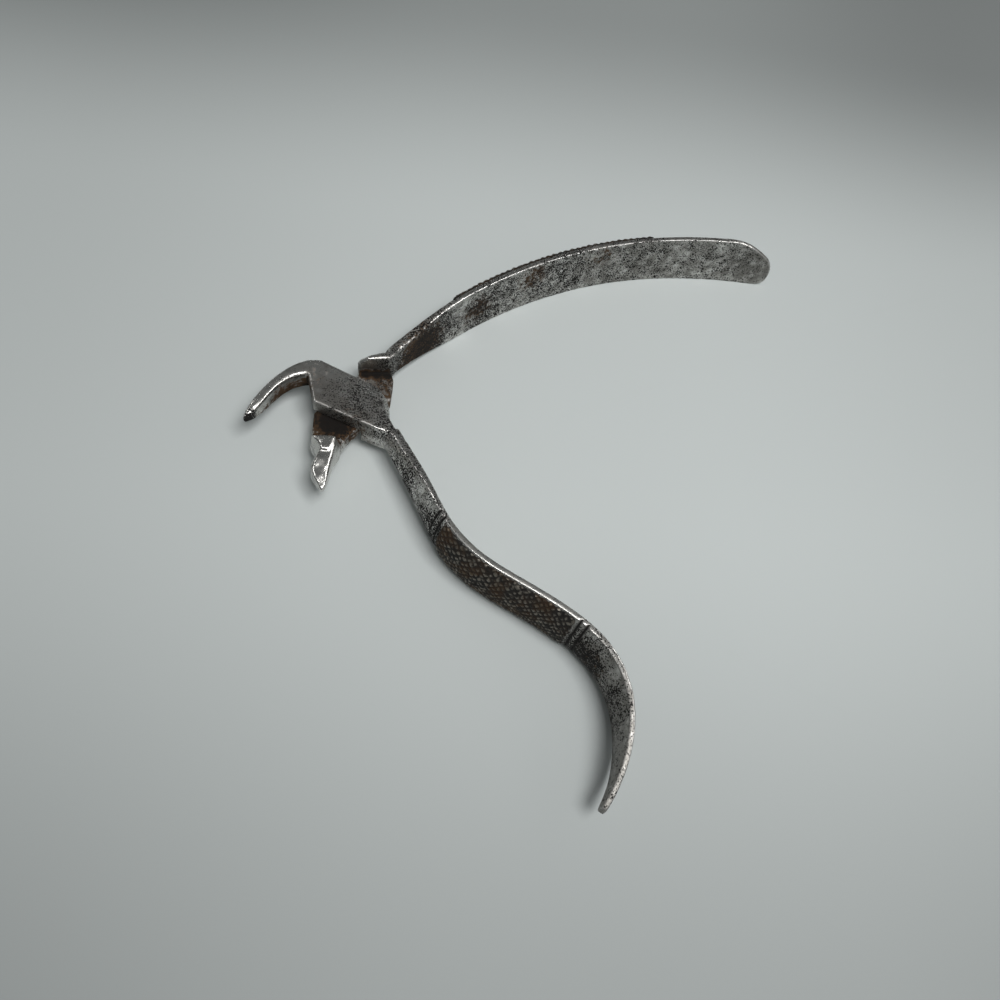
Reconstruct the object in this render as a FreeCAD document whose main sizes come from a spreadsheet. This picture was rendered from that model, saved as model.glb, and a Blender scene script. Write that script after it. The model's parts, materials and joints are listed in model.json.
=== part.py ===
import FreeCAD, Part
import math
import os
import sys
import Sketcher

# Dental pliers of the extraction pattern: two forged steel levers crossed in a lap joint.
# The hook lever carries the long curved beak and the hooked handle, the spike lever the
# short pointed beak and the plain arched handle. One countersunk screw is their hinge.
# Millimetres. While the pieces are drawn, the hinge axis stands at x = 0, y = 0, and z = 0
# is the surface that the pliers lie on. The pliers are drawn wide open.

V = FreeCAD.Vector
UP = V(0, 0, 1)

doc = FreeCAD.newDocument("Pliers")

# Driving sizes: name, value, what it measures
SIZES = [
    ("hook_length", 89.2, "hooked handle along its inner face, from the joint on"),
    ("plain_length", 101.1, "plain handle along its inner face, from the joint on"),
    ("joint_half", 10.0, "half the length of the lap joint; its outlines are shares of it"),
    ("grip_width", 12.9, "height of both handles over the grips, lying down"),
    ("half_thick", 3.4, "thickness of each lever in the lap joint"),
    ("lap_gap", 0.05, "running gap between the two lapped faces"),
    ("pin_dia", 4.0, "hinge screw, plain shank"),
    ("pin_clear", 0.04, "radial running clearance of the shank in the spike lever"),
    ("pin_cover", 0.8, "steel left between the shank's blind end and the front face"),
    ("head_dia", 6.6, "hinge screw, countersunk head"),
    ("head_depth", 1.3, "hinge screw, depth of the head's cone"),
    ("head_sink", 0.1, "how deep the screw head lies under the rear face"),
    ("slot_width", 0.9, "driver slot"),
    ("slot_depth", 0.6, "driver slot"),
    ("edge_thick", 1.1, "handle thickness at its two edges"),
    ("crown", 1.5, "how far the outer face of a handle bulges over its edges"),
    ("shank_edge", 1.9, "handle thickness at its edges next to the joint"),
    ("shank_width", 6.9, "handle height next to the joint"),
    ("forged_width", 13.1, "handle height before its edges are ground flat"),
    ("growth", 22.0, "length over which a handle widens, from the joint on"),
    ("cut_width", 0.55, "cut lines across the grips' ends"),
    ("cut_depth", 0.35, "cut lines across the grips' ends"),
    ("hook_grip_start", 21.0, "first cut line of the hooked handle, from the joint"),
    ("hook_grip_end", 53.4, "second cut line of the hooked handle, from the joint"),
    ("plain_grip_start", 17.5, "cut line of the plain handle, from the joint"),
    ("cut_pitch", 1.5, "distance between paired cut lines"),
    ("collar_rise", 0.8, "how far the collar stands over the joint face"),
    ("collar_slope", 1.7, "sloping upper part of the collar, measured down"),
    ("relief_depth", 0.5, "groove at the foot of the collar"),
    ("beak_reach", 9.9, "straighter part of the hook beak"),
    ("beak_bend", 8.6, "bent part of the hook beak"),
    ("beak_thick", 2.0, "hook beak across, behind its tip"),
    ("beak_height", 4.9, "hook beak along the hinge axis"),
    ("spike_length", 11.4, "spike beak from its shoulder to its point"),
    ("spike_belly", 3.6, "spike beak across at its belly"),
    ("spike_height", 4.8, "spike beak along the hinge axis, at its waist"),
    ("plate_upper", 4.8, "hinge axis to the upper edge of the hook plate"),
    ("plate_lower", 4.4, "hinge axis to the lower edge of the hook plate"),
    ("plate_left", 7.6, "hinge axis to the left edge of the hook plate"),
    ("bevel_depth", 2.0, "bevel on the right of the hook plate, measured down"),
    ("jaw_slope", 2.4, "sloping upper part of the jaw, measured down"),
    ("origin_x", 38.568, "hinge axis to the middle of the pliers, along x"),
    ("origin_y", -11.408, "hinge axis to the middle of the pliers, along y"),
]

sheet = doc.addObject("Spreadsheet::Sheet", "Sizes")
for row, (name, value, meaning) in enumerate(SIZES, start=1):
    sheet.set(f"A{row}", name)
    sheet.set(f"B{row}", str(value))
    sheet.set(f"C{row}", meaning)
    sheet.setAlias(f"B{row}", name)
doc.recompute()


def size(name):
    return float(sheet.get(name))


class Bound:
    """A length that follows the sheet: its value now, and the expression that keeps it."""

    def __init__(self, value, expression):
        self.value = value
        self.expression = expression

    def __add__(self, other):
        return Bound(self.value + other.value, f"{self.expression} + {other.expression}")

    def __sub__(self, other):
        return Bound(self.value - other.value, f"{self.expression} - ({other.expression})")


def cell(name, factor=1.0, plus=0.0):
    return Bound(factor * size(name) + plus, f"{factor} * Sizes.{name} + {plus}")


def between(low, high, share):
    return cell(low, 1.0 - share) + cell(high, share)


def value_of(length):
    return length.value if isinstance(length, Bound) else length


def bind(owner, prop, length):
    if isinstance(length, Bound):
        owner.setExpression(prop, length.expression)
    else:
        setattr(owner, prop, length)


def constrain(sketch, kind, *where_and_length):
    *where, length = where_and_length
    index = sketch.addConstraint(Sketcher.Constraint(kind, *where, value_of(length)))
    if isinstance(length, Bound):
        sketch.setExpression(f"Constraints[{index}]", length.expression)


# Levels along the hinge axis, all counted from the middle of the grips
MIDDLE = cell("grip_width", 0.5)
JOINT_BACK = MIDDLE - cell("half_thick")
JOINT_FRONT = MIDDLE + cell("half_thick")
JOINT_HEIGHT = cell("half_thick", 2.0)
HALF_HEIGHT = cell("half_thick") - cell("lap_gap", 0.5)
LAP_BACK = MIDDLE - cell("lap_gap", 0.5)
LAP_FRONT = MIDDLE + cell("lap_gap", 0.5)
BEVEL_FOOT = JOINT_FRONT - cell("bevel_depth")
PLATE_WALL = BEVEL_FOOT - LAP_FRONT
COLLAR_CREST = JOINT_FRONT + cell("collar_rise")
COLLAR_SHOULDER = COLLAR_CREST - cell("collar_slope")
COLLAR_WALL = COLLAR_SHOULDER - JOINT_BACK
RELIEF_FLOOR = LAP_BACK - cell("relief_depth")
JAW_SHOULDER = JOINT_FRONT - cell("jaw_slope")
JAW_WALL = JAW_SHOULDER - JOINT_BACK
HEAD_FACE = JOINT_BACK + cell("head_sink")
PIN_END = JOINT_FRONT - cell("pin_cover")
PIN_BORE = cell("pin_dia", 0.5) + cell("pin_clear")
HEAD_SEAT = cell("head_dia", 0.5) + cell("pin_clear")


def outline(name, corners, level, turn=0.0):
    """A closed outline seen from the front; corners run round it, each (x, y)."""
    sketch = doc.addObject("Sketcher::SketchObject", name)
    sketch.Placement = FreeCAD.Placement(V(0, 0, value_of(level)), FreeCAD.Rotation(UP, turn))
    if isinstance(level, Bound):
        bind(sketch, "Placement.Base.z", level)
    points = [V(value_of(x), value_of(y), 0) for x, y in corners]
    for start, end in zip(points, points[1:] + points[:1]):
        sketch.addGeometry(Part.LineSegment(start, end), False)
    last = len(points) - 1
    for line in range(len(points)):
        following = 0 if line == last else line + 1
        sketch.addConstraint(Sketcher.Constraint("Coincident", line, 2, following, 1))
    for line, (x, y) in enumerate(corners):
        constrain(sketch, "DistanceX", -1, 1, line, 1, x)
        constrain(sketch, "DistanceY", -1, 1, line, 1, y)
    return sketch


def in_joint(*corners):
    """Corners of the joint as shares of its half length; a named size stays as it is."""
    return [
        tuple(along if isinstance(along, Bound) else cell("joint_half", along) for along in corner)
        for corner in corners
    ]


def block(name, corners, level, height, turn=0.0):
    solid = doc.addObject("Part::Extrusion", name)
    solid.Base = outline(name + "_outline", corners, level, turn)
    solid.DirMode = "Custom"
    solid.Dir = UP
    solid.Solid = True
    bind(solid, "LengthFwd", height)
    return solid


class Path:
    """A run of tangent arcs, seen from the front. Each leg is (length, heading at its end)."""

    def __init__(self, x, y, heading, legs):
        self.start = (x, y, heading)
        self.legs = legs

    def length(self):
        return sum(value_of(leg) for leg, _ in self.legs)

    def at(self, distance):
        x, y, heading = self.start
        x, y = value_of(x), value_of(y)
        for number, (leg, end_heading) in enumerate(self.legs):
            leg = value_of(leg)
            last = number == len(self.legs) - 1
            part = distance / leg if distance < leg or last else 1.0
            turn = math.radians(end_heading - heading) * part
            chord = leg * part * (math.sin(turn / 2) / (turn / 2) if turn else 1.0)
            middle = math.radians(heading) + turn / 2
            x, y = x + chord * math.cos(middle), y + chord * math.sin(middle)
            heading += math.degrees(turn)
            distance -= leg
            if distance <= 0:
                break
        return x, y, heading


def stand_across(sketch, path, distance, level, aside=0.0):
    """Stands a section across the path: its own X points left of the path, its Y is up."""
    x, y, heading = path.at(distance)
    left = math.radians(heading + 90)
    turn = FreeCAD.Rotation(UP, heading + 90) * FreeCAD.Rotation(V(1, 0, 0), 90)
    aside = value_of(aside)
    place = V(x + aside * math.cos(left), y + aside * math.sin(left), value_of(level))
    sketch.Placement = FreeCAD.Placement(place, turn)
    if isinstance(level, Bound):
        bind(sketch, "Placement.Base.z", level)


def handle_section(name, path, distance, side, width, edge, crown, rise=0.0):
    """Across a handle: flat inside on the path, two thin edges, a crowned outer face."""
    wide, thin, bulge = value_of(width), value_of(edge), value_of(crown)
    radius = Bound(
        (wide * wide / 4 + bulge * bulge) / (2 * bulge),
        f"(({width.expression}) ^ 2 / 4 + ({crown.expression}) ^ 2) / (2 * ({crown.expression}))",
    )
    sketch = doc.addObject("Sketcher::SketchObject", name)
    low, high = V(0, -wide / 2, 0), V(0, wide / 2, 0)
    out_low, out_high = V(side * thin, -wide / 2, 0), V(side * thin, wide / 2, 0)
    top = V(side * (thin + bulge), 0, 0)
    sketch.addGeometry(Part.LineSegment(low, high), False)
    sketch.addGeometry(Part.LineSegment(high, out_high), False)
    sketch.addGeometry(Part.Arc(out_high, top, out_low), False)
    sketch.addGeometry(Part.LineSegment(out_low, low), False)
    arc_high, arc_low = (2, 1) if side > 0 else (1, 2)
    joins = ((0, 2, 1, 1), (1, 2, 2, arc_high), (2, arc_low, 3, 1), (3, 2, 0, 1))
    for first, first_end, second, second_end in joins:
        sketch.addConstraint(
            Sketcher.Constraint("Coincident", first, first_end, second, second_end)
        )
    sketch.addConstraint(Sketcher.Constraint("Symmetric", 0, 1, 0, 2, -1, 1))
    sketch.addConstraint(Sketcher.Constraint("Vertical", 0))
    sketch.addConstraint(Sketcher.Constraint("Horizontal", 1))
    sketch.addConstraint(Sketcher.Constraint("Horizontal", 3))
    constrain(sketch, "DistanceY", 0, 1, 0, 2, width)
    constrain(sketch, "DistanceX", *((1, 1, 1, 2) if side > 0 else (1, 2, 1, 1)), edge)
    sketch.addConstraint(Sketcher.Constraint("Equal", 1, 3))
    constrain(sketch, "Radius", 2, radius)
    stand_across(sketch, path, distance, cell("grip_width", 0.5 + rise))
    return sketch


def beak_section(name, path, distance, across, height, level, aside=0.0):
    """Across a beak: a block with its four corners cut off, so that the beak has facets."""
    half_x, half_y = value_of(across) / 2, value_of(height) / 2
    cut = 0.3 * min(half_x, half_y)
    corners = [
        (half_x, half_y - cut), (half_x - cut, half_y), (cut - half_x, half_y),
        (-half_x, half_y - cut), (-half_x, cut - half_y), (cut - half_x, -half_y),
        (half_x - cut, -half_y), (half_x, cut - half_y),
    ]
    sketch = outline(name, corners, 0.0)
    stand_across(sketch, path, distance, level, aside)
    return sketch


def loft(name, sections, ruled=False):
    solid = doc.addObject("Part::Loft", name)
    solid.Sections = sections
    solid.Solid = True
    solid.Ruled = ruled
    return solid


def fused(name, shapes):
    whole = doc.addObject("Part::MultiFuse", name)
    whole.Shapes = shapes
    whole.Refine = True
    return whole


def cut_away(name, base, tool):
    rest = doc.addObject("Part::Cut", name)
    rest.Base = base
    rest.Tool = tool
    return rest


def handle(name, path, side, end):
    """A forged handle: slim at the joint, wide over the grip, narrowed along its end.

    Each station of the end is a row of shares: distance to the end, height, rise, crown.
    """
    grown = size("growth")
    length = path.length()
    sections = []
    for along, share in ((0.0, 0.0), (0.2, 0.18), (0.4, 0.45), (0.6, 0.74), (0.8, 0.93), (1.0, 1.0)):
        sections.append(handle_section(
            f"{name}_{len(sections)}", path, along * grown, side,
            between("shank_width", "forged_width", share),
            between("shank_edge", "edge_thick", share), cell("crown", 0.8 + 0.2 * share),
        ))
    wide_until = length * (1 - end[0][0])
    for along in (0.25, 0.5, 0.75):
        sections.append(handle_section(
            f"{name}_{len(sections)}", path, grown + along * (wide_until - grown), side,
            cell("forged_width"), cell("edge_thick"), cell("crown"),
        ))
    for before_end, share, rise, crown_share in end:
        sections.append(handle_section(
            f"{name}_{len(sections)}", path, length * (1 - before_end), side,
            cell("forged_width", share), cell("edge_thick"), cell("crown", crown_share), rise,
        ))
    return loft(name, sections)


def ground_flat(name, base):
    """Both edges of a handle are ground down to two planes; the lower one is the rest plane."""
    near, far = cell("plain_length", -1.2), cell("plain_length", 1.2)
    slab = block(
        name + "_slab", [(near, near), (far, near), (far, far), (near, far)],
        0.0, cell("grip_width"),
    )
    rest = doc.addObject("Part::MultiCommon", name)
    rest.Shapes = [base, slab]
    return rest


def drum(name, radius, level, height):
    solid = doc.addObject("Part::Cylinder", name)
    bind(solid, "Radius", radius)
    bind(solid, "Height", height)
    bind(solid, "Placement.Base.z", level)
    return solid


def cut_line(name, path, distance, side):
    """The tool for a line that is cut straight across the outer face of a handle."""
    wide, floor = size("forged_width"), size("edge_thick") - size("cut_depth")
    clear = size("edge_thick") + 2 * size("crown")
    sketch = doc.addObject("Sketcher::SketchObject", name + "_outline")
    low, high = V(side * floor, -wide / 2, 0), V(side * floor, wide / 2, 0)
    out_low, out_high = V(side * clear, -wide / 2, 0), V(side * clear, wide / 2, 0)
    crest = V(side * (floor + size("crown")), 0, 0)
    sketch.addGeometry(Part.Arc(low, crest, high), False)
    sketch.addGeometry(Part.LineSegment(high, out_high), False)
    sketch.addGeometry(Part.LineSegment(out_high, out_low), False)
    sketch.addGeometry(Part.LineSegment(out_low, low), False)
    stand_across(sketch, path, distance, MIDDLE)
    tool = doc.addObject("Part::Extrusion", name)
    tool.Base = sketch
    tool.DirMode = "Normal"
    tool.Solid = True
    tool.Symmetric = True
    bind(tool, "LengthFwd", cell("cut_width"))
    return tool


# The hook lever: the front half of the joint
PLATE_TURN = -24.6
left_side = in_joint(
    (-0.97, cell("plate_upper")), (-1.19, 0.32), (-0.94, -0.01),
    (cell("plate_left", -0.75), cell("plate_lower", -1.057)),
)
shank_out, shank_in = (0.976, -0.38), (1.13, -0.16)
lower_right = (0.765, -0.4)
plate_foot = left_side + in_joint(
    lower_right, shank_out, shank_in, (0.87, 0.01), (0.71, 0.27), (0.57, 0.43),
    (0.41, cell("plate_upper")),
)
plate_face = left_side + in_joint(
    lower_right, shank_out, (1.04, -0.21), (0.757, 0.028), (0.596, 0.212), (0.447, 0.392),
    (0.33, cell("plate_upper")),
)
hook_plate = block("hook_plate", plate_foot, LAP_FRONT, PLATE_WALL, PLATE_TURN)
hook_bevel = loft("hook_bevel", [
    outline("hook_bevel_foot", plate_foot, BEVEL_FOOT, PLATE_TURN),
    outline("hook_bevel_face", plate_face, JOINT_FRONT, PLATE_TURN),
], ruled=True)
hook_root = block("hook_root", in_joint(
    (0.397, -0.42), (0.74, -0.33), (0.94, -0.055), shank_in, shank_out, lower_right,
), JOINT_BACK, BEVEL_FOOT - JOINT_BACK, PLATE_TURN)
hook_path = Path(cell("joint_half", 0.96), cell("joint_half", -0.62), -61.0, [
    (cell("hook_length", share), heading)
    for share, heading in (
        (0.2074, -66.0), (0.2018, -29.0), (0.0863, -29.0),
        (0.1121, -38.0), (0.213, -92.0), (0.1794, -124.0),
    )
])
hook_handle = ground_flat("hook_handle", handle("hook_forging", hook_path, -1, [
    (0.336, 1.0, 0.0, 1.0), (0.224, 0.95, 0.0, 0.85), (0.157, 0.83, 0.0, 0.6),
    (0.101, 0.64, 0.0, 0.4), (0.05, 0.42, 0.0, 0.25), (0.017, 0.27, 0.0, 0.2),
    (0.0, 0.18, 0.0, 0.15),
]))
beak_path = Path(cell("joint_half", -0.8), cell("joint_half", 0.66), 192.0, [
    (cell("beak_bend"), 236.0), (cell("beak_reach"), 247.0),
])
bend, reach = size("beak_bend"), size("beak_reach")
hook_beak = loft("hook_beak", [
    beak_section(
        f"hook_beak_{number}", beak_path, distance,
        cell("beak_thick", across), cell("beak_height", height), cell("grip_width", level),
    )
    for number, (distance, across, height, level) in enumerate([
        (0.0, 1.9, 0.97, 0.581), (0.5 * bend, 1.3, 0.98, 0.578), (bend, 1.0, 1.0, 0.574),
        (bend + 0.4 * reach, 1.0, 0.9, 0.589), (bend + 0.7 * reach, 0.85, 0.72, 0.612),
        (bend + reach, 0.35, 0.22, 0.651),
    ])
])

# The spike lever: the rear half of the joint, between a collar and the jaw of its beak
collar_foot = in_joint((0.115, 0.87), (0.74, 0.965))
collar_back = in_joint(
    (0.85, 1.19), (0.66, 1.2), (0.46, 1.14), (0.24, 1.06), (0.1, 0.99), (0.06, 0.93),
)
collar_crest = in_joint(
    (0.26, 0.892), (0.74, 0.965), (0.85, 1.19), (0.66, 1.14), (0.48, 1.08), (0.35, 1.02),
    (0.29, 0.97), (0.26, 0.93),
)
spike_waist = block("spike_waist", collar_foot + in_joint(
    (0.81, 0.74), (0.78, 0.26), (0.16, -0.51), (0.03, -0.66), (-0.12, -0.94),
    (-0.14, -1.04), (-0.64, -1.04), (-0.7, -0.92), (-0.7, -0.22),
), JOINT_BACK, HALF_HEIGHT)
collar = block("collar", collar_foot + collar_back, JOINT_BACK, COLLAR_WALL)
collar_top = loft("collar_top", [
    outline("collar_shoulder", collar_foot + collar_back, COLLAR_SHOULDER),
    outline("collar_crest", collar_crest, COLLAR_CREST),
], ruled=True)
relief = block("relief", in_joint(
    (0.0, 0.76), (0.9, 0.895), (0.9, 0.989), (0.0, 0.853),
), RELIEF_FLOOR, cell("relief_depth"))
jaw_foot = in_joint(
    (-0.73, -0.92), (-0.17, -0.89), (-0.13, -1.06), (-0.23, -1.26), (-0.54, -1.26),
    (-0.63, -1.06),
)
jaw_crest = in_joint(
    (-0.72, -0.92), (-0.19, -0.891), (-0.28, -1.04), (-0.33, -1.23), (-0.47, -1.23),
    (-0.54, -1.04),
)
jaw = block("jaw", jaw_foot, JOINT_BACK, JAW_WALL)
jaw_top = loft("jaw_top", [
    outline("jaw_shoulder", jaw_foot, JAW_SHOULDER),
    outline("jaw_crest", jaw_crest, JOINT_FRONT),
], ruled=True)
spike_path = Path(cell("joint_half", 0.83), cell("joint_half", 1.16), 51.0, [
    (cell("plain_length", share), heading)
    for share, heading in ((0.4352, 28.5), (0.3561, 7.0), (0.2087, -3.0))
])
spike_handle = ground_flat("spike_handle", handle("spike_forging", spike_path, 1, [
    (0.138, 1.0, 0.0, 1.0), (0.099, 0.97, -0.012, 0.95), (0.065, 0.87, -0.062, 0.85),
    (0.03, 0.7, -0.147, 0.7), (0.014, 0.56, -0.186, 0.55), (0.005, 0.4, -0.225, 0.4),
    (0.0, 0.15, -0.24, 0.2),
]))
spike_line = Path(cell("joint_half", -0.41), cell("joint_half", -0.9), -91.0, [
    (cell("spike_length"), -91.0),
])
spike_beak = loft("spike_beak", [
    beak_section(
        f"spike_beak_{number}", spike_line, along * size("spike_length"),
        cell("spike_belly", across), cell("spike_height", height), cell("grip_width", level),
        cell("spike_belly", aside),
    )
    for number, (along, across, height, level, aside) in enumerate([
        (0.088, 1.22, 1.29, 0.512, 0.0), (0.35, 0.89, 1.0, 0.527, 0.083),
        (0.614, 1.0, 0.917, 0.519, -0.083), (0.807, 0.667, 0.667, 0.543, 0.0),
        (1.0, 0.167, 0.25, 0.589, 0.11),
    ])
])

# The hinge: its shank is fast in the hook lever and turns in the spike lever
pin_seat = drum("pin_seat", cell("pin_dia", 0.5), MIDDLE, PIN_END - MIDDLE)
pin_bore = drum("pin_bore", PIN_BORE, JOINT_BACK, JOINT_HEIGHT)
head_mouth = drum("head_mouth", HEAD_SEAT, JOINT_BACK, cell("head_sink"))
head_cone = doc.addObject("Part::Cone", "head_cone")
bind(head_cone, "Radius1", HEAD_SEAT)
bind(head_cone, "Radius2", PIN_BORE)
bind(head_cone, "Height", cell("head_depth"))
bind(head_cone, "Placement.Base.z", HEAD_FACE)

hook_lever = cut_away(
    "hook_lever",
    fused("hook_forged", [hook_plate, hook_bevel, hook_root, hook_handle, hook_beak]),
    fused("hook_cuts", [pin_seat] + [
        cut_line(f"hook_cut_{number}", hook_path, distance, -1)
        for number, distance in enumerate([
            size("hook_grip_start"), size("hook_grip_start") + size("cut_pitch"),
            size("hook_grip_end"), size("hook_grip_end") + size("cut_pitch"),
        ])
    ]),
)
spike_lever = cut_away(
    "spike_lever",
    fused("spike_forged", [
        spike_waist, collar, collar_top, jaw, jaw_top, spike_handle, spike_beak,
    ]),
    fused("spike_cuts", [
        pin_bore, head_mouth, head_cone, relief,
        cut_line("plain_cut", spike_path, size("plain_grip_start"), 1),
    ]),
)

# The screw is turned to one profile, then its slot is milled across the head
pivot_screw = doc.addObject("PartDesign::Body", "pivot_screw")
profile = doc.addObject("Sketcher::SketchObject", "screw_profile")
pivot_screw.addObject(profile)
profile.Placement = FreeCAD.Placement(V(0, 0, 0), FreeCAD.Rotation(V(1, 0, 0), 90))
corners = [
    (0.0, HEAD_FACE), (cell("head_dia", 0.5), HEAD_FACE),
    (cell("pin_dia", 0.5), HEAD_FACE + cell("head_depth")),
    (cell("pin_dia", 0.5), PIN_END), (0.0, PIN_END),
]
points = [V(value_of(x), value_of(y), 0) for x, y in corners]
for start, end in zip(points, points[1:] + points[:1]):
    profile.addGeometry(Part.LineSegment(start, end), False)
for line in range(len(points)):
    following = (line + 1) % len(points)
    profile.addConstraint(Sketcher.Constraint("Coincident", line, 2, following, 1))
profile.addConstraint(Sketcher.Constraint("PointOnObject", 0, 1, -2))
profile.addConstraint(Sketcher.Constraint("Vertical", 4))
profile.addConstraint(Sketcher.Constraint("Horizontal", 0))
profile.addConstraint(Sketcher.Constraint("Vertical", 2))
profile.addConstraint(Sketcher.Constraint("Horizontal", 3))
constrain(profile, "DistanceY", -1, 1, 0, 1, HEAD_FACE)
constrain(profile, "DistanceX", 0, 1, 0, 2, cell("head_dia", 0.5))
constrain(profile, "DistanceX", 3, 2, 3, 1, cell("pin_dia", 0.5))
constrain(profile, "DistanceY", 1, 1, 1, 2, cell("head_depth"))
constrain(profile, "DistanceY", -1, 1, 3, 1, PIN_END)
turned = pivot_screw.newObject("PartDesign::Revolution", "turned")
turned.Profile = profile
turned.ReferenceAxis = (profile, ["V_Axis"])
turned.Angle = 360
doc.recompute()
slot_outline = doc.addObject("Sketcher::SketchObject", "slot_outline")
pivot_screw.addObject(slot_outline)
bind(slot_outline, "Placement.Base.z", HEAD_FACE)
half_slot, slot_end = size("slot_width") / 2, size("head_dia")
slot_corners = [
    V(-slot_end, -half_slot, 0), V(slot_end, -half_slot, 0),
    V(slot_end, half_slot, 0), V(-slot_end, half_slot, 0),
]
for start, end in zip(slot_corners, slot_corners[1:] + slot_corners[:1]):
    slot_outline.addGeometry(Part.LineSegment(start, end), False)
for line in range(4):
    slot_outline.addConstraint(
        Sketcher.Constraint("Coincident", line, 2, (line + 1) % 4, 1)
    )
    straight = "Vertical" if line % 2 else "Horizontal"
    slot_outline.addConstraint(Sketcher.Constraint(straight, line))
slot_outline.addConstraint(Sketcher.Constraint("Symmetric", 0, 1, 1, 2, -1, 1))
constrain(slot_outline, "DistanceX", 0, 1, 0, 2, cell("head_dia", 2.0))
constrain(slot_outline, "DistanceY", 1, 1, 1, 2, cell("slot_width"))
slot = pivot_screw.newObject("PartDesign::Pocket", "slot")
slot.Profile = slot_outline
slot.Reversed = True
bind(slot, "Length", cell("slot_depth"))
pivot_screw.Tip = slot

# The shared frame: the origin is the middle of the pliers, on the surface they lie on
pieces = [hook_lever, spike_lever, pivot_screw]
for piece in pieces:
    piece.Label = piece.Name
    bind(piece, "Placement.Base.x", cell("origin_x", -1.0))
    bind(piece, "Placement.Base.y", cell("origin_y", -1.0))
doc.recompute()

failed = [item.Name for item in doc.Objects if {"Invalid", "Error"} & set(item.State)]
for piece in pieces:
    shape = piece.Shape
    if shape.isNull() or not shape.isValid() or len(shape.Solids) != 1:
        failed.append(piece.Name)
if failed:
    print("These objects failed:", ", ".join(failed))
    sys.exit(1)

os.makedirs("parts", exist_ok=True)
for piece in pieces:
    piece.Shape.exportStep(f"parts/{piece.Label}.step")
    print(piece.Label, "volume", round(piece.Shape.Volume, 1))
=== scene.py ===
# %% [markdown]
# # Old dental pliers, lying open
# Two forged steel levers cross in a lap joint. This lesson gives them the look of a used
# instrument: edges worn round, a bright ground surface that is pitted and stained, knurled
# grips filled with brown rust, and two beaks that are still polished. Nothing here moves
# it.

import json
import math

import bmesh
import bpy
import numpy as np
from mathutils import Matrix, Vector, noise
from mathutils.bvhtree import BVHTree
from mathutils.kdtree import KDTree

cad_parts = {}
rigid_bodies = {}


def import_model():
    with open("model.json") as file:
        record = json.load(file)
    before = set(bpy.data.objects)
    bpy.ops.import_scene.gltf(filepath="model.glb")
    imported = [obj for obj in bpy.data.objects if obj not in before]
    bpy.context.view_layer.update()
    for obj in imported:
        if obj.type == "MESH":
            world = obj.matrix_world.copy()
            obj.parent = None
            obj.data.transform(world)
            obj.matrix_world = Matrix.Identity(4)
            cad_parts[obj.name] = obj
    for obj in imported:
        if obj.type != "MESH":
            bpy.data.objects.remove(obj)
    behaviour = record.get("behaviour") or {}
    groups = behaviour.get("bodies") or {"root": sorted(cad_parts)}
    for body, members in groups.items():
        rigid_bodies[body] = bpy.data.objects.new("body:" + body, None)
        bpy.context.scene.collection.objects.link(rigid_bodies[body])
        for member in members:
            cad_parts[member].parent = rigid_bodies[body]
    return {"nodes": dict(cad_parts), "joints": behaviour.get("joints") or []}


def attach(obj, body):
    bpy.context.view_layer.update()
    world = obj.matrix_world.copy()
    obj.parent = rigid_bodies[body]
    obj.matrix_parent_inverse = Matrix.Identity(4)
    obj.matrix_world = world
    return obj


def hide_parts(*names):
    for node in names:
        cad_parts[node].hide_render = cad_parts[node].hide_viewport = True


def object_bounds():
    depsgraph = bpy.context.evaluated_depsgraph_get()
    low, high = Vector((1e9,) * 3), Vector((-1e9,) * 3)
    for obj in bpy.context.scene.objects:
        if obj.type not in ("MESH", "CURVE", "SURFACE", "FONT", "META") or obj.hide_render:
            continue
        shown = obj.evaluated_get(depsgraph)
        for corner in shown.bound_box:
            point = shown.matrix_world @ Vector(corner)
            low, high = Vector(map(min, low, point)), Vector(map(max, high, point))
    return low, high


for leftover in list(bpy.data.objects):
    bpy.data.objects.remove(leftover)
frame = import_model()
cad_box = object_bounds()
MM = 0.001
pivot = Vector(frame["joints"][0]["pos_m"])
pivot.z = 0.0
print("CAD box in mm:", [[round(c / MM, 2) for c in corner] for corner in cad_box])

# %% [markdown]
# ## The camera
# The photograph was taken from above and a little in front. Its vanishing point for upright
# edges gives the tilt, and the width of the handles gives the distance. The camera is
# stated by its place and by the directions of its axes. Blender's camera looks along its own
# minus z, so the third column of its matrix is the forward direction turned round.

# %% Camera
LENS = 32.4
SENSOR = 36.0
CAMERA_PLACE = (5.79, -102.73, 157.9)  # mm, from the hinge and over the table

camera_data = bpy.data.cameras.new("camera")
camera_data.lens = LENS
camera_data.sensor_width = SENSOR
camera_data.clip_start = 0.005
camera_data.clip_end = 5.0
camera = bpy.data.objects.new("camera", camera_data)
bpy.context.scene.collection.objects.link(camera)
bpy.context.scene.camera = camera
right = Vector((0.9873, 0.0, 0.1588)).normalized()
forward = Vector((0.1393, 0.4805, -0.8660)).normalized()
up = right.cross(forward)
camera.matrix_world = Matrix((
    (right.x, up.x, -forward.x, pivot.x + CAMERA_PLACE[0] * MM),
    (right.y, up.y, -forward.y, pivot.y + CAMERA_PLACE[1] * MM),
    (right.z, up.z, -forward.z, CAMERA_PLACE[2] * MM),
    (0.0, 0.0, 0.0, 1.0),
))
print("camera stands", CAMERA_PLACE[2], "mm over the table")

# %% [markdown]
# ## Wearing the edges
# A forging that has been in use for decades has no sharp edge left. A bevel on every edge
# would look machined, so each lever is rebuilt instead: a copy of the engineered solid is
# remeshed into even small faces and then relaxed, which rounds edges and melts the corners
# where the blank was forged into one piece. Flat faces stay flat.

# %% Two helpers for finished meshes
def apply_modifiers(piece):
    """Turns what the modifiers make into the piece's own mesh."""
    graph = bpy.context.evaluated_depsgraph_get()
    worked = bpy.data.meshes.new_from_object(piece.evaluated_get(graph))
    worked.name = piece.name
    piece.modifiers.clear()
    piece.data = worked


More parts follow.
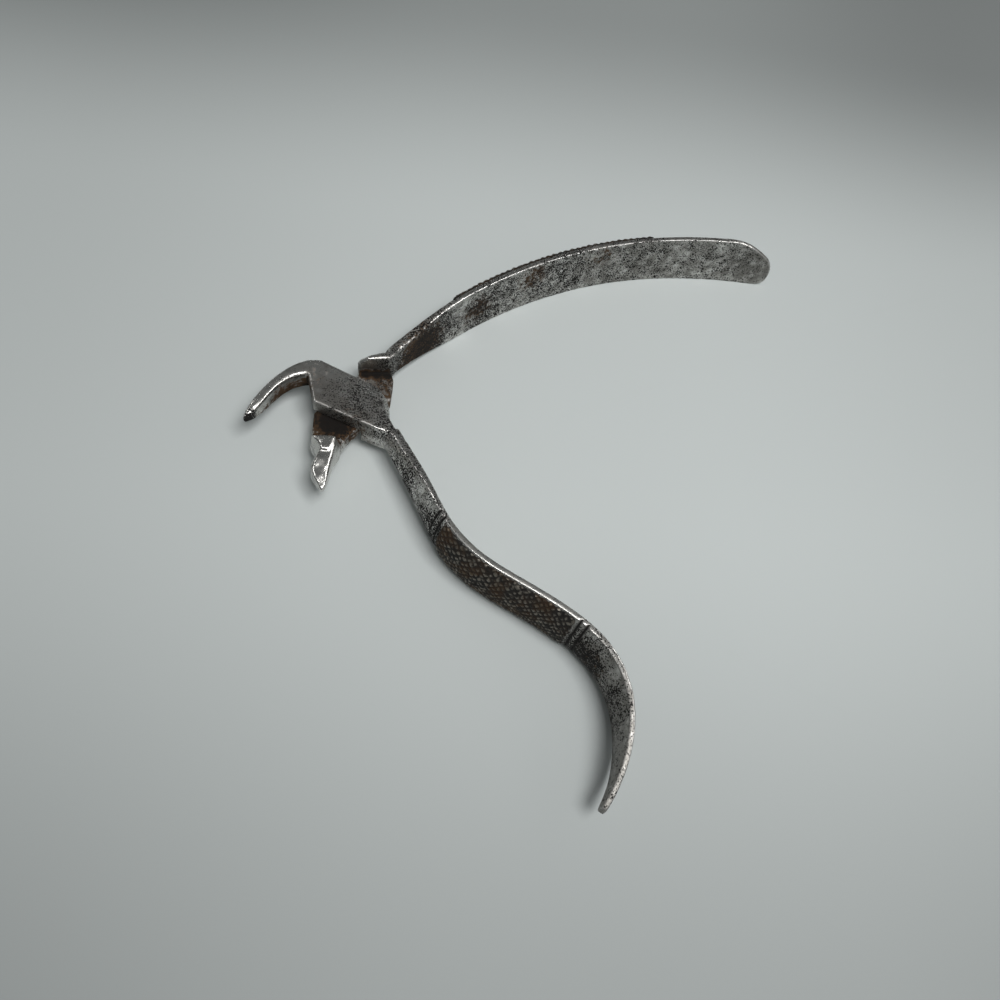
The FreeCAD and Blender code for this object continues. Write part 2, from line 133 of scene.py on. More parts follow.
def hold_height(piece, low, high):
    """Lets no point of the piece leave the height of the engineered model."""
    for vertex in piece.data.vertices:
        vertex.co.z = min(max(vertex.co.z, low), high)


print("pieces stay between these heights in mm:", [round(c[2] / MM, 2) for c in cad_box])

# %% A worn copy of a solid
FINE = 0.23 * MM  # width of a face, the smallest that keeps a lever under 200,000 triangles
WELD = 2e-6  # the solid's triangles are loose, so their corners are merged first


def worn_copy(node, name, voxel, rounds):
    """The node's solid as an even mesh whose edges are worn round."""
    mesh = frame["nodes"][node].data.copy()
    low = min(vertex.co.z for vertex in mesh.vertices)
    high = max(vertex.co.z for vertex in mesh.vertices)
    shape = bmesh.new()
    shape.from_mesh(mesh)
    bmesh.ops.remove_doubles(shape, verts=shape.verts, dist=WELD)
    shape.to_mesh(mesh)
    shape.free()
    piece = bpy.data.objects.new(name, mesh)
    bpy.context.scene.collection.objects.link(piece)
    remesh = piece.modifiers.new("even faces", "REMESH")
    remesh.mode = "VOXEL"
    remesh.voxel_size = voxel
    remesh.use_smooth_shade = True
    relax = piece.modifiers.new("worn", "CORRECTIVE_SMOOTH")
    relax.smooth_type = "SIMPLE"
    relax.factor = 0.5
    relax.iterations = rounds
    relax.use_only_smooth = True
    apply_modifiers(piece)
    hold_height(piece, low, high)
    print(name, "has", len(piece.data.polygons), "faces")
    return piece


hook = worn_copy("hook_lever", "hook_lever_worn", FINE, 5)
spike = worn_copy("spike_lever", "spike_lever_worn", FINE, 5)
for lever, node, body in ((hook, "hook_lever", "hook_body"), (spike, "spike_lever", "spike_body")):
    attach(lever, body)
    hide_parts(node)

# %% [markdown]
# ## Softer places
# Hand-filed places are softer than the rest: the root of the short beak, the corner where the
# plate runs into its handle, the long beak and the top of the collar. They are relaxed a
# little more, each inside a ball that is stated by its middle and its radius.

# %% Melt four places
def melt(piece, middle, radius, rounds):
    """Relaxes the surface near one place, in mm from the hinge."""
    centre = Vector(middle) * MM + pivot
    shape = bmesh.new()
    shape.from_mesh(piece.data)
    near = [vertex for vertex in shape.verts if (vertex.co - centre).length < radius * MM]
    for _ in range(rounds):
        bmesh.ops.smooth_vert(
            shape, verts=near, factor=0.5, use_axis_x=True, use_axis_y=True, use_axis_z=True)
    shape.to_mesh(piece.data)
    shape.free()
    print(piece.name, "melted", len(near), "points")


melt(spike, (-4.5, -8.0, 8.0), 3.8, 24)
melt(hook, (9.5, -8.0, 7.5), 4.0, 10)
melt(hook, (-17.0, -3.0, 7.0), 9.5, 5)
melt(spike, (7.0, 11.3, 11.3), 3.8, 20)

# %% [markdown]
# ## Where a point lies along its handle
# Both handles follow smooth curves, so the grips and their finish are easiest to describe by
# the distance along that curve. The path is a run of arcs: each has a length and the heading
# that it ends with.

# %% The paths of the two handles
PATH_STEP = 0.25


class HandlePath:
    """The inner face of a handle seen from above, in mm from the hinge."""
    def __init__(self, x, y, heading, legs, side):
        self.side = side
        self.points = []
        distance = 0.0
        for length, end_heading in legs:
            count = round(length / PATH_STEP)
            for number in range(count):
                share = (number + 0.5) / count
                angle = math.radians(heading + (end_heading - heading) * share)
                self.points.append((distance, x, y, angle))
                x += length / count * math.cos(angle)
                y += length / count * math.sin(angle)
                distance += length / count
            heading = end_heading
        self.points.append((distance, x, y, math.radians(heading)))
        self.length = distance

    def at(self, distance):
        """Place on the inner face, and the direction that points out of the handle."""
        number = min(range(len(self.points)), key=lambda n: abs(self.points[n][0] - distance))
        known, x, y, angle = self.points[number]
        x += (distance - known) * math.cos(angle)
        y += (distance - known) * math.sin(angle)
        outward = Vector((-math.sin(angle), math.cos(angle), 0.0)) * self.side
        return Vector((x, y, 0.0)), outward


hooked_path = HandlePath(9.6, -6.2, -61.0, [
    (18.5, -66.0), (18.0, -29.0), (7.7, -29.0), (10.0, -38.0), (19.0, -92.0), (16.0, -124.0),
], -1)
plain_path = HandlePath(8.3, 11.6, 51.0, [(44.0, 28.5), (36.0, 7.0), (21.1, -3.0)], 1)
print("handles:", round(hooked_path.length, 1), round(plain_path.length, 1), "mm")

# %% [markdown]
# ## What the years did, and painted shade, written on the surface
# Wear polishes the edges, and dirt and painted shade darken the corners. Both follow from the
# shape, so they are measured once and kept as numbers on the mesh. A point that stands out over
# the mean of its neighbours is on an edge, and one that lies under it is in a corner.

# %% Helpers for numbers on a mesh
def neighbours(mesh):
    """The two ends of every edge."""
    ends = np.empty(len(mesh.edges) * 2, dtype=np.int64)
    mesh.edges.foreach_get("vertices", ends)
    return ends[0::2], ends[1::2]


def average(values, first, second):
    """The mean of every vertex's neighbours."""
    count = np.bincount(first, minlength=len(values)) + np.bincount(second, minlength=len(values))
    total = np.bincount(first, weights=values[second], minlength=len(values))
    total += np.bincount(second, weights=values[first], minlength=len(values))
    return total / np.maximum(count, 1)


def vertex_vectors(mesh, name):
    """The places ("co") or the normals ("normal") of all vertices, one row each."""
    flat = np.empty(len(mesh.vertices) * 3)
    mesh.vertices.foreach_get(name, flat)
    return flat.reshape(-1, 3)


def keep(mesh, name, values):
    """Writes one number per vertex, which a material can read by its name."""
    layer = mesh.attributes.new(name, "FLOAT", "POINT")
    layer.data.foreach_set("value", np.asarray(values, dtype=np.float32))


print("the hook lever has", len(hook.data.vertices), "points to mark")

# %% Convexity
CONVEX_GAIN = 6.0  # makes the sharpest worn edge about 1


def mark_convexity(piece, spread):
    """Stores -1 in corners, 0 on flats and 1 on edges."""
    mesh = piece.data
    places = vertex_vectors(mesh, "co")
    normals = vertex_vectors(mesh, "normal")
    first, second = neighbours(mesh)
    middle = np.stack([average(places[:, axis], first, second) for axis in range(3)], axis=1)
    convex = ((places - middle) * normals).sum(axis=1) / FINE
    for _ in range(spread):
        convex = 0.5 * convex + 0.5 * average(convex, first, second)
    keep(mesh, "convex", np.clip(convex * CONVEX_GAIN, -1.0, 1.0))
    print(piece.name, "convexity", round(float(convex.min()), 3), round(float(convex.max()), 3))


for lever in (hook, spike):
    mark_convexity(lever, 3)

# %% [markdown]
# ## The lines beside the grips
# Two lines are cut across the handle at each end of a grip. Black dirt fills them, so their
# places get a mark of their own, found by the distance along the handle.

# %% Cut lines
CUT_WIDTH = 0.25
CUT_SOFTNESS = 1.6  # over 1, so a line is full in its middle and fades at its sides
OUTER_SIDE = 0.6  # mm from the inner face: the lines stay off that face
NEAR_HANDLE = 4.0


def mark_cuts(piece, path, cuts):
    """Marks the lines that are cut straight across the outer face, at distances in mm."""
    tree = KDTree(len(path.points))
    for number, (_, x, y, _) in enumerate(path.points):
        tree.insert((x, y, 0.0), number)
    tree.balance()
    values = []
    for vertex in piece.data.vertices:
        where = (vertex.co - pivot) / MM
        where.z = 0.0
        _, number, far = tree.find(where)
        distance, x, y, angle = path.points[number]
        off = where - Vector((x, y, 0.0))
        distance += off.x * math.cos(angle) + off.y * math.sin(angle)
        outward = (off.x * -math.sin(angle) + off.y * math.cos(angle)) * path.side
        nearest = min(abs(distance - cut) for cut in cuts)
        shown = outward > OUTER_SIDE and far < NEAR_HANDLE
        values.append(max(0.0, CUT_SOFTNESS - nearest / CUT_WIDTH) if shown else 0.0)
    keep(piece.data, "cut", np.clip(values, 0.0, 1.0))
    print(piece.name, "has lines at", cuts, "mm along its handle")


mark_cuts(hook, hooked_path, (21.0, 22.5, 53.4, 54.9))
mark_cuts(spike, plain_path, (16.0, 17.5))

# %% [markdown]
# ## Stains, painted shade, pits and polish by place
# Rust is not even: it sits where a hand leaves sweat and where water stays. On these pliers
# it is worst beside the joint and fades along the handles. Some spots paint shade as well: in
# the groove under the collar, beside and under the plate, under the long beak and on the hooked
# end. A spot is a soft ball, and a few balls are enough to say where each kind of surface is:
# its middle and radius are in mm from the hinge, and its strength is the last number.

# %% Helper for spots
def mark_spots(piece, name, spots):
    """Full strength within half a radius of a spot's middle, and none past one and a half."""
    places = vertex_vectors(piece.data, "co") / MM
    places[:, 0] -= pivot.x / MM
    places[:, 1] -= pivot.y / MM
    total = np.zeros(len(places))
    for x, y, z, radius, strength in spots:
        far = np.sqrt(((places - np.array((x, y, z))) ** 2).sum(axis=1)) / radius
        total = np.maximum(total, strength * np.clip(1.5 - far, 0.0, 1.0))
    keep(piece.data, name, total)
    print(piece.name, name, "covers", round(100.0 * float((total > 0.0).mean())), "% of the points")


# %% Brown and black stain, and painted shade
mark_spots(hook, "stain_and_shade", [
    # brown film and painted shade under the long beak, from its root toward its tip
    (-7.5, 4.0, 4.5, 4.5, 1.9), (-12.0, 1.0, 4.0, 4.5, 1.7), (-15.0, -3.0, 3.5, 4.0, 1.3),
    # the plate's wall, the shank, and the handle past the grip
    (0.0, -6.5, 7.0, 5.0, 0.7), (12.0, -15.0, 6.0, 7.0, 0.25), (48.0, -48.5, 6.0, 5.5, 0.75),
])
mark_spots(spike, "stain_and_shade", [
    # painted shade: a black row along the relief groove under the collar
    (2.4, 8.2, 6.0, 1.5, 2.0), (4.6, 8.2, 6.0, 1.5, 2.0), (6.8, 8.4, 6.0, 1.5, 2.0),
    # painted shade, partly brown, on the half joint that shows beside the plate
    (6.5, 5.0, 6.4, 4.0, 0.95), (9.0, 1.0, 6.0, 4.0, 0.95), (10.0, -2.5, 6.0, 3.0, 0.8),
    # patches along the handle
    (14.0, 16.5, 5.0, 6.5, 1.6), (26.0, 27.5, 7.0, 4.5, 1.1), (38.0, 36.0, 9.0, 4.5, 1.0),
    (54.0, 43.0, 10.0, 4.5, 0.85),
    # painted shade, black, in the pocket under the plate, above the short beak
    (-3.0, -3.5, 7.0, 5.0, 2.2),
])

# %% Pits
mark_spots(hook, "pitted", [
    # the plate, and down the shank to the grip
    (2.0, -1.0, 10.0, 7.0, 0.8), (8.0, -5.0, 9.0, 5.0, 0.9), (13.0, -15.0, 6.0, 7.0, 1.1),
    (18.0, -26.0, 6.0, 7.0, 1.25),
    # past the grip, fewer and fewer
    (47.5, -48.0, 6.0, 6.5, 1.4), (52.0, -58.0, 6.0, 7.0, 0.9), (50.0, -72.0, 6.0, 8.0, 0.4),
    # black spots: one on the handle's edge, two at its end, one on the tip of the beak
    (52.6, -61.0, 9.5, 1.4, 5.0), (48.9, -73.6, 11.8, 1.5, 4.0), (47.6, -76.2, 11.8, 1.7, 4.0),
    (-18.8, -6.8, 7.5, 2.3, 2.4),
])
mark_spots(spike, "pitted", [
    # the collar, and along the whole handle
    (9.0, 11.0, 6.0, 6.0, 1.0), (16.0, 20.0, 6.0, 9.0, 1.1), (28.0, 31.0, 6.0, 10.0, 1.0),
    (44.0, 39.0, 6.0, 12.0, 0.9), (62.0, 44.0, 6.0, 14.0, 0.75), (82.0, 47.0, 6.0, 16.0, 0.65),
    # the root of the short beak
    (-2.0, -5.0, 6.0, 4.0, 0.6),
])

# %% Polish, dull metal and painted shade
mark_spots(hook, "polish", [(-18.0, -3.0, 7.0, 8.0, 0.7)])
mark_spots(spike, "polish", [(-7.0, -15.0, 7.0, 7.0, 1.0)])
mark_spots(hook, "dulled_and_shaded", [
    # painted shade on the hooked end of the handle, and dull metal just past the grip
    (52.0, -60.0, 6.0, 8.0, 1.0), (51.5, -68.0, 6.0, 8.0, 1.0), (48.5, -76.0, 6.0, 8.0, 1.0),
    (47.5, -48.0, 6.0, 6.0, 1.1),
    # painted shade under the long beak
    (-14.0, -2.0, 3.5, 4.0, 1.0), (-18.0, -7.0, 3.5, 4.0, 1.0),
    # the lower left edge of the plate
    (-4.0, -4.0, 9.5, 4.5, 1.2), (1.0, -7.0, 9.5, 3.5, 1.2), (-6.0, 0.0, 9.5, 4.0, 0.9),
])
mark_spots(spike, "dulled_and_shaded", [
    # the root, the middle and the end of the handle
    (12.0, 15.0, 6.0, 8.0, 0.6), (62.0, 46.0, 6.0, 16.0, 0.3), (94.0, 50.0, 6.0, 8.0, 0.6),
    # painted shade on the half joint that shows beside the plate
    (7.5, 4.0, 6.0, 5.0, 1.7), (9.5, -1.0, 6.0, 4.0, 1.7),
])

# %% [markdown]
# ## Knurled grips
# The grips were rolled with a tool that presses rows of small pyramids into the crowned outer
# face. The pyramids here are a fine grid laid on the lever: every vertex is pushed down to the
# steel by a ray and then lifted by the height of the pattern. At its rim the grid dips under
# the surface, so no edge shows. All lengths are in mm.

# %% The pattern of the roller
PITCH = 1.5
STEPS_PER_POINT = 8
POINT_SLOPE = 1.3  # over 1, so the points are worn flat
SHAKE = 0.24  # how far the rows wander
SHAKE_SCALE = 0.9
ROUGH_SCALE = 1.3
noise.seed_set(7)  # so the rows wander the same way in every run


def pyramid(along, across):
    """Height of the rolled pattern, 0 in its grooves and 1 on its points."""
    first = abs(((along + across) / PITCH) % 1.0 - 0.5) * 2.0
    second = abs(((along - across) / PITCH) % 1.0 - 0.5) * 2.0
    return min(1.0, POINT_SLOPE * (1.0 - max(first, second)))


def worn_pyramid(along, across):
    """The same, with rows that wander a little and points of unequal height."""
    shake = noise.noise_vector(Vector((along, across, 0.0)) * SHAKE_SCALE) * SHAKE
    rough = 0.8 + 0.35 * noise.noise(Vector((along, across, 5.0)) * ROUGH_SCALE)
    return pyramid(along + shake.x, across + shake.y) * rough


print("height of a point and of a groove:", pyramid(0.5 * PITCH, 0.0), pyramid(0.0, 0.0))

# %% Lay one point of the grid on the steel
POINT_HEIGHT = 0.34
LIFT = 0.1  # grooves over the steel
DIP = 0.08  # rim under the steel
MIDDLE_HEIGHT = 6.45  # half the height of the pliers
CROWN_RADIUS = 15.0
RAY_START = 9.0  # outside of the handle


def surface_of(piece):
    """A tree of the piece's faces, which a ray can hit."""
    shape = bmesh.new()
    shape.from_mesh(piece.data)
    tree = BVHTree.FromBMesh(shape)
    shape.free()
    return tree


def lay_on(vertex, steel, path, along, across, rise, height):
    """Puts a vertex of the grid where a ray meets the lever, and lifts it."""
    place, outward = path.at(along)
    lean = across / CROWN_RADIUS
    normal = (outward * math.sqrt(1.0 - lean * lean) + Vector((0.0, 0.0, lean))).normalized()
    level = Vector((pivot.x, pivot.y, MIDDLE_HEIGHT * MM + across * MM))
    source = place * MM + level + outward * RAY_START * MM
    hit = steel.ray_cast(source, -outward)[0]
    vertex.co = hit + normal * MM * (rise * (LIFT + POINT_HEIGHT * height) - DIP)


print("points stand", round(LIFT + POINT_HEIGHT - DIP, 2), "mm over the steel")

# %% Make a whole grip
RIM = 0.35  # width of the border where the grid dips under the steel
SHELL = 0.3


def new_object(name, mesh, body):
    piece = bpy.data.objects.new(name, mesh)
    bpy.context.scene.collection.objects.link(piece)
    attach(piece, body)
    return piece


def grip(name, lever, path, body, start, end, reach_at):
    """Lays a grip on a lever between two distances; reach_at gives half its width."""
    steel = surface_of(lever)
    columns = round((end - start) / PITCH * STEPS_PER_POINT)
    rows = round(2.0 * reach_at(end) / PITCH * STEPS_PER_POINT)
    shape = bmesh.new()
    bmesh.ops.create_grid(shape, x_segments=columns, y_segments=rows, size=0.5)
    points = []
    for vertex in shape.verts:
        along = start + (vertex.co.x + 0.5) * (end - start)
        reach = reach_at(along)
        across = vertex.co.y * 2.0 * reach
        rise = min(1.0, min(along - start, end - along, reach - abs(across)) / RIM)
        height = worn_pyramid(along, across)
        points.append(height * rise)
        lay_on(vertex, steel, path, along, across, rise, height)
    mesh = bpy.data.meshes.new(name)
    shape.to_mesh(mesh)
    shape.free()
    keep(mesh, "point", points)
    piece = new_object(name, mesh, body)
    shell = piece.modifiers.new("thickness", "SOLIDIFY")
    shell.thickness = SHELL * MM
    shell.offset = -1.0
    apply_modifiers(piece)
    hold_height(piece, cad_box[0][2], cad_box[1][2])
    print(name, "has", len(piece.data.polygons), "faces")
    return piece


# %% [markdown]
# ## The two grips
# The hooked handle is as wide as the pliers are high all along its grip. The plain handle
# starts narrow at the joint and widens, so its grip follows a short table of widths.

# %% Widths of the grips, and both grips
HOOKED_REACH = 6.28
ROOT_WIDTH = 6.9
GAIN_IN_WIDTH = 6.2
WIDENING = 22.0  # length over which the plain handle widens
EDGE_LEFT_BARE = 0.3


def hooked_reach(_):
    return HOOKED_REACH


def plain_reach(along):
    shares = (0.0, 0.2, 0.4, 0.6, 0.8, 1.0)
    grown = (0.0, 0.18, 0.45, 0.74, 0.93, 1.0)
    width = ROOT_WIDTH + GAIN_IN_WIDTH * float(np.interp(along / WIDENING, shares, grown))
    return width / 2.0 - EDGE_LEFT_BARE


hooked_grip = grip("hooked_grip", hook, hooked_path, "hook_body", 23.2, 52.7, hooked_reach)
plain_grip = grip("plain_grip", spike, plain_path, "spike_body", 18.2, 69.0, plain_reach)

# %% [markdown]
# ## The steel
# Polished tool steel that lost its plating in places. Three things are layered: bright ground
# metal, black pits where rust ate into it, and a brown film where it still sits. Painted shade
# is layered in as well: dull and black colour in the corners, beside and under the plate and
# under the long beak. The pits are deep and rough, the film is thin and dull. A small helper
# writes the node graphs, so each line of a material says one thing. It reads Object
# coordinates: every size is in metres, as on the real pliers.

# %% Helper for materials
class Graph:
    """Writes a material: every call adds one node and gives back its output."""
    def __init__(self, name):
        self.material = bpy.data.materials.new(name)
        self.material.use_nodes = True
        self.tree = self.material.node_tree
        self.surface = self.tree.nodes["Principled BSDF"]
        self.place = self.tree.nodes.new("ShaderNodeTexCoord").outputs["Object"]

    def feed(self, socket, value):
        if isinstance(value, bpy.types.NodeSocket):
            self.tree.links.new(value, socket)
        else:
            socket.default_value = value

    def math(self, operation, first, second=0.0):
        node = self.tree.nodes.new("ShaderNodeMath")
        node.operation = operation
        self.feed(node.inputs[0], first)
        self.feed(node.inputs[1], second)
        return node.outputs[0]

    def plus(self, first, second):
        return self.math("ADD", first, second)

    def minus(self, first, second):
        return self.math("SUBTRACT", first, second)

    def times(self, first, second):
        return self.math("MULTIPLY", first, second)

    def larger(self, first, second):
        return self.math("MAXIMUM", first, second)

    def step(self, value, low, high):
        """0 below low, 1 over high, and smooth between them."""
        node = self.tree.nodes.new("ShaderNodeMapRange")
        node.interpolation_type = "SMOOTHSTEP"
        self.feed(node.inputs["Value"], value)
        self.feed(node.inputs["From Min"], low)
        self.feed(node.inputs["From Max"], high)
        return node.outputs["Result"]

    def blend(self, share, first, second):
        """Mixes two colours."""
        node = self.tree.nodes.new("ShaderNodeMix")
        node.data_type = "RGBA"
        self.feed(node.inputs[0], share)
        self.feed(node.inputs[6], first)
        self.feed(node.inputs[7], second)
        return node.outputs[2]

    def between(self, share, first, second):
        """Mixes two numbers."""
        node = self.tree.nodes.new("ShaderNodeMix")
        self.feed(node.inputs[0], share)
        self.feed(node.inputs[2], first)
        self.feed(node.inputs[3], second)
        return node.outputs[0]

    def noise(self, size, detail=3.0):
        """Cloudy values whose features measure about size metres."""
        node = self.tree.nodes.new("ShaderNodeTexNoise")
        self.feed(node.inputs["Vector"], self.place)
        self.feed(node.inputs["Scale"], 1.0 / size)
        self.feed(node.inputs["Detail"], detail)
        return node.outputs["Fac"]

    def mark(self, name):
        """A number that was kept on the mesh."""
        node = self.tree.nodes.new("ShaderNodeAttribute")
        node.attribute_name = name
        return node.outputs["Fac"]

    def bump(self, height, depth):
        node = self.tree.nodes.new("ShaderNodeBump")
        self.feed(node.inputs["Height"], height)
        self.feed(node.inputs["Distance"], depth)
        self.feed(self.surface.inputs["Normal"], node.outputs["Normal"])

    def finish(self, colour, metallic, roughness):
        self.feed(self.surface.inputs["Base Color"], colour)
        self.feed(self.surface.inputs["Metallic"], metallic)
        self.feed(self.surface.inputs["Roughness"], roughness)
        print("material:", self.material.name, "with", len(self.tree.nodes), "nodes")
        return self.material


def give(pieces, material):
    for piece in pieces:
        piece.data.materials.clear()
        piece.data.materials.append(material)


# %% [markdown]
# ## Masks of the pitted steel
# A mask says with 0 to 1 where a layer shows. Each one adds a measured mark to a noise, so its
# border is ragged as on real rust. The feature sizes were judged: pits are a third of a
# millimetre wide and stand in groups, and dull clouds are a few millimetres wide.

# %% Worn edges, dull clouds and painted shade
CLOUD = 2.1 * MM


def edge_mask(g):
    """Bright worn edges: none in a cut line, and fainter on dull metal and in painted shade."""
    worn = g.step(g.mark("convex"), 0.25, 0.8)
    worn = g.times(worn, g.minus(1.0, g.mark("cut")))
    return g.times(worn, g.minus(1.0, g.times(g.mark("dulled_and_shaded"), 0.55)))


def dull_and_shade_mask(g, edge):
    """Clouds of dull metal, most where it was never polished, with painted shade in the shaded
    spots; none on an edge.
    """
    clouds = g.times(g.minus(g.noise(CLOUD, 5.0), 0.5), 1.9)
    level = g.plus(clouds, g.times(g.minus(1.0, g.mark("polish")), 0.45))
    dull_and_shade = g.step(g.plus(level, g.times(g.mark("dulled_and_shaded"), 0.6)), 0.1, 1.0)
    return g.times(dull_and_shade, g.minus(1.0, edge))


print("dull clouds are about", round(CLOUD / MM, 2), "mm wide")

# %% Pits and brown film
SPECK = 0.3 * MM
GROUP = 1.7 * MM
RAGGED = 0.9 * MM


def pit_mask(g, edge):
    """Black pits in groups, and the lines beside the grips."""
    groups = g.times(g.minus(g.noise(GROUP, 4.0), 0.5), 0.34)
    amount = g.plus(g.times(g.mark("pitted"), 0.19), groups)
    amount = g.minus(amount, g.times(edge, 0.12))
    pits = g.step(g.plus(g.noise(SPECK, 4.0), amount), 0.645, 0.68)
    return g.larger(pits, g.mark("cut"))


def film_and_shade_masks(g):
    """Where the brown film lies, and where it turns black: thick film, and painted shade in corners
    and in the shaded spots.
    """
    stain_and_shade = g.mark("stain_and_shade")
    # corners get brown film and painted shade, which turns black where they are deepest
    corner = g.step(g.times(g.mark("convex"), -1.0), 0.06, 0.4)
    ragged = g.minus(g.noise(RAGGED, 6.0), 0.5)
    film_and_shade = g.plus(g.times(stain_and_shade, 0.62), g.times(corner, 0.4))
    film_and_shade = g.step(g.plus(film_and_shade, g.times(ragged, 1.7)), 0.3, 0.75)
    deep_stain_and_shade = g.plus(stain_and_shade, g.times(ragged, 2.0))
    return film_and_shade, g.larger(corner, g.step(deep_stain_and_shade, 1.3, 2.0))


print("pits are about", round(SPECK / MM, 2), "mm wide, in groups of", round(GROUP / MM, 2), "mm")

# %% [markdown]
# ## Pitted steel of the levers
# The layers are mixed from the bottom up: bright or dull metal, where the dull colour also
# paints shade, worn edges, brown film, black grime with painted shade, black pits. The bump
# sinks the pits by six hundredths of a millimetre, and makes the polish of the beaks gently
# wavy, because they were finished by hand.

# %% Pitted steel
BRIGHT = (0.55, 0.54, 0.515, 1.0)
DULL_AND_SHADE = (0.2, 0.192, 0.178, 1.0)
WORN = (0.74, 0.73, 0.71, 1.0)
PIT = (0.008, 0.007, 0.006, 1.0)
RUST = (0.076, 0.044, 0.023, 1.0)
# black of thick grime, and painted shade in corners and in the shaded spots
GRIME_AND_SHADE = (0.014, 0.011, 0.009, 1.0)
PIT_DEPTH = 0.06 * MM
GRAIN = 0.22 * MM
WAVE = 3.6 * MM


def lever_relief(g, edge, pits):
    grain = g.times(g.noise(GRAIN, 2.0), 0.35)
    waves = g.times(g.noise(WAVE, 1.0), g.times(g.mark("polish"), 16.0))
    relief = g.times(g.minus(grain, pits), g.minus(1.0, g.times(edge, 0.85)))
    g.bump(g.plus(relief, waves), PIT_DEPTH)


def pitted_steel():
    g = Graph("pitted steel")
    edge = edge_mask(g)
    dull_and_shade = dull_and_shade_mask(g, edge)
    pits = pit_mask(g, edge)
    film_and_shade, grime_and_shade = film_and_shade_masks(g)
    colour = g.blend(dull_and_shade, BRIGHT, DULL_AND_SHADE)
    colour = g.blend(edge, colour, WORN)
    colour = g.blend(film_and_shade, colour, g.blend(grime_and_shade, RUST, GRIME_AND_SHADE))
    colour = g.blend(pits, colour, PIT)
    metal = g.minus(1.0, g.larger(g.times(film_and_shade, 0.7), pits))
    rough = g.between(dull_and_shade, 0.24, 0.45)
    rough = g.between(edge, rough, 0.18)
    rough = g.between(g.larger(film_and_shade, pits), rough, 0.85)
    lever_relief(g, edge, pits)
    g.surface.inputs["Specular IOR Level"].default_value = 0.2
    return g.finish(colour, metal, rough)


give((hook, spike), pitted_steel())

# %% [markdown]
# ## Knurled steel of the grips
# Hands rub the points bright and leave dirt in the grooves. The grid kept the height of its
# pattern, so the finish can follow the points exactly. Some patches of the dirt are brown,
# and the points in them are dimmer.

# %% Knurled steel
GROOVE_BLACK = (0.014, 0.012, 0.01, 1.0)
GROOVE_BROWN = (0.034, 0.018, 0.008, 1.0)
POINT_BRIGHT = (0.22, 0.2, 0.17, 1.0)
POINT_BROWN = (0.13, 0.1, 0.07, 1.0)


def knurled_steel():
    g = Graph("knurled steel")
    ragged = g.minus(g.noise(RAGGED, 5.0), 0.5)
    tip = g.step(g.plus(g.mark("point"), g.times(ragged, 2.2)), 0.25, 0.95)
    brown = g.step(g.noise(4.0 * MM, 3.0), 0.4, 0.62)
    dirt = g.blend(brown, GROOVE_BLACK, GROOVE_BROWN)
    worn = g.blend(brown, POINT_BRIGHT, POINT_BROWN)
    g.bump(g.noise(SPECK, 3.0), 0.12 * MM)
    g.surface.inputs["Specular IOR Level"].default_value = 0.25
    return g.finish(g.blend(tip, dirt, worn), tip, g.between(tip, 0.7, 0.38))


give((hooked_grip, plain_grip), knurled_steel())

# %% [markdown]
# ## Screw
# Only its slotted head shows, in the rear face. It turned dark under the oil. The engineered
# screw is small and turned, so it needs no worn copy, only a finish.

# %% Screw
SCREW_BRIGHT = (0.45, 0.44, 0.42, 1.0)
SCREW_DARK = (0.14, 0.105, 0.08, 1.0)


def screw_steel():
    g = Graph("screw steel")
    cloud = g.step(g.noise(1.5 * MM, 4.0), 0.4, 0.65)
    g.bump(g.noise(SPECK, 2.0), 0.02 * MM)
    colour = g.blend(cloud, SCREW_BRIGHT, SCREW_DARK)
    return g.finish(colour, g.between(cloud, 1.0, 0.5), g.between(cloud, 0.35, 0.6))


give((frame["nodes"]["pivot_screw"],), screw_steel())

# %% [markdown]
# ## Floor
# The pliers lie on a sheet of white paper that bends upward at the back. It is one plane here,
# and painted shade does the bend and the fall of the lamp: its colour darkens toward the back
# and a little toward the other sides.

# %% Floor
FLOOR_HALF = 1.5
PAPER = (0.66, 0.70, 0.69, 1.0)
SHADE = (0.03, 0.034, 0.034, 1.0)


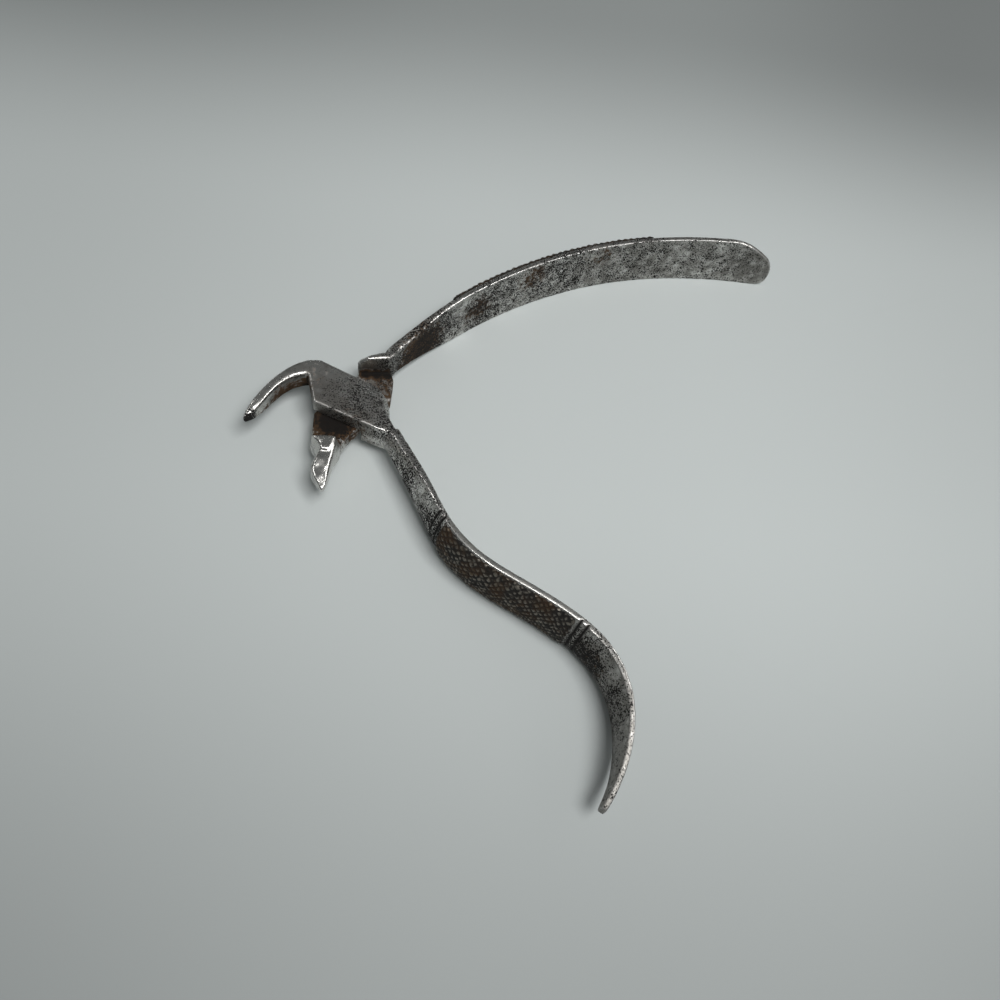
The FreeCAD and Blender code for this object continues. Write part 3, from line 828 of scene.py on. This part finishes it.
def paper():
    """White paper with painted shade: darker away from the lamp, and most of all where it bends
    upward.
    """
    g = Graph("paper")
    split = g.tree.nodes.new("ShaderNodeSeparateXYZ")
    g.feed(split.inputs[0], g.place)
    across, back = split.outputs[0], split.outputs[1]
    bend = g.step(back, 0.07, 0.165)
    near = g.step(g.times(back, -1.0), 0.0, 0.11)
    side = g.step(g.math("ABSOLUTE", g.minus(across, 0.015)), 0.02, 0.13)
    shade = g.plus(g.plus(g.times(bend, 0.5), g.times(near, 0.42)), g.times(side, 0.16))
    g.bump(g.noise(0.8 * MM, 3.0), 0.01 * MM)
    return g.finish(g.blend(shade, PAPER, SHADE), 0.0, 0.8)


floor_mesh = bpy.data.meshes.new("table")
shape = bmesh.new()
bmesh.ops.create_grid(shape, x_segments=1, y_segments=1, size=FLOOR_HALF)
shape.to_mesh(floor_mesh)
shape.free()
floor = bpy.data.objects.new("table", floor_mesh)
bpy.context.scene.collection.objects.link(floor)
give((floor,), paper())

# %% [markdown]
# ## Light
# One broad soft lamp above lights the paper and gives the close, soft shadow. Polished steel
# shows what it reflects, so three windows are added that only show up as glints: the long one
# on the right draws the bright line along the edges of both handles.

# %% Lamps
def lamp(name, place, size, power):
    """A soft rectangle that looks at the pliers. Lengths in metres, power in watts."""
    data = bpy.data.lights.new(name, "AREA")
    data.shape = "RECTANGLE"
    data.size, data.size_y = size
    data.energy = power
    light = bpy.data.objects.new(name, data)
    light.location = place
    light.rotation_euler = (-Vector(place)).to_track_quat("-Z", "Y").to_euler()
    bpy.context.scene.collection.objects.link(light)
    print(name, "gives", power, "W")
    return light


lamp("ceiling", (0.16, -0.24, 0.8), (0.4, 0.32), 4.9)
glints = [
    lamp("right window", (0.6, 0.0, 0.45), (1.1, 0.14), 3.8),
    lamp("left window", (-0.55, 0.2, 0.6), (0.4, 0.1), 0.8),
    lamp("front window", (-0.22, -0.28, 0.7), (0.2, 0.12), 1.0),
]
for light in glints:
    light.visible_diffuse = False

# %% [markdown]
# ## The room
# A faint even light from all sides keeps the shadows open, as a white room does. The Standard
# view shows colours as they are, without a film curve.

# %% World
ROOM_COLOUR = (0.95, 1.0, 1.0, 1.0)
ROOM_STRENGTH = 0.15

world = bpy.data.worlds.new("room")
bpy.context.scene.world = world
world.use_nodes = True
room = world.node_tree.nodes["Background"]
room.inputs["Color"].default_value = ROOM_COLOUR
room.inputs["Strength"].default_value = ROOM_STRENGTH
bpy.context.scene.view_settings.view_transform = "Standard"
print("room light has a strength of", ROOM_STRENGTH)
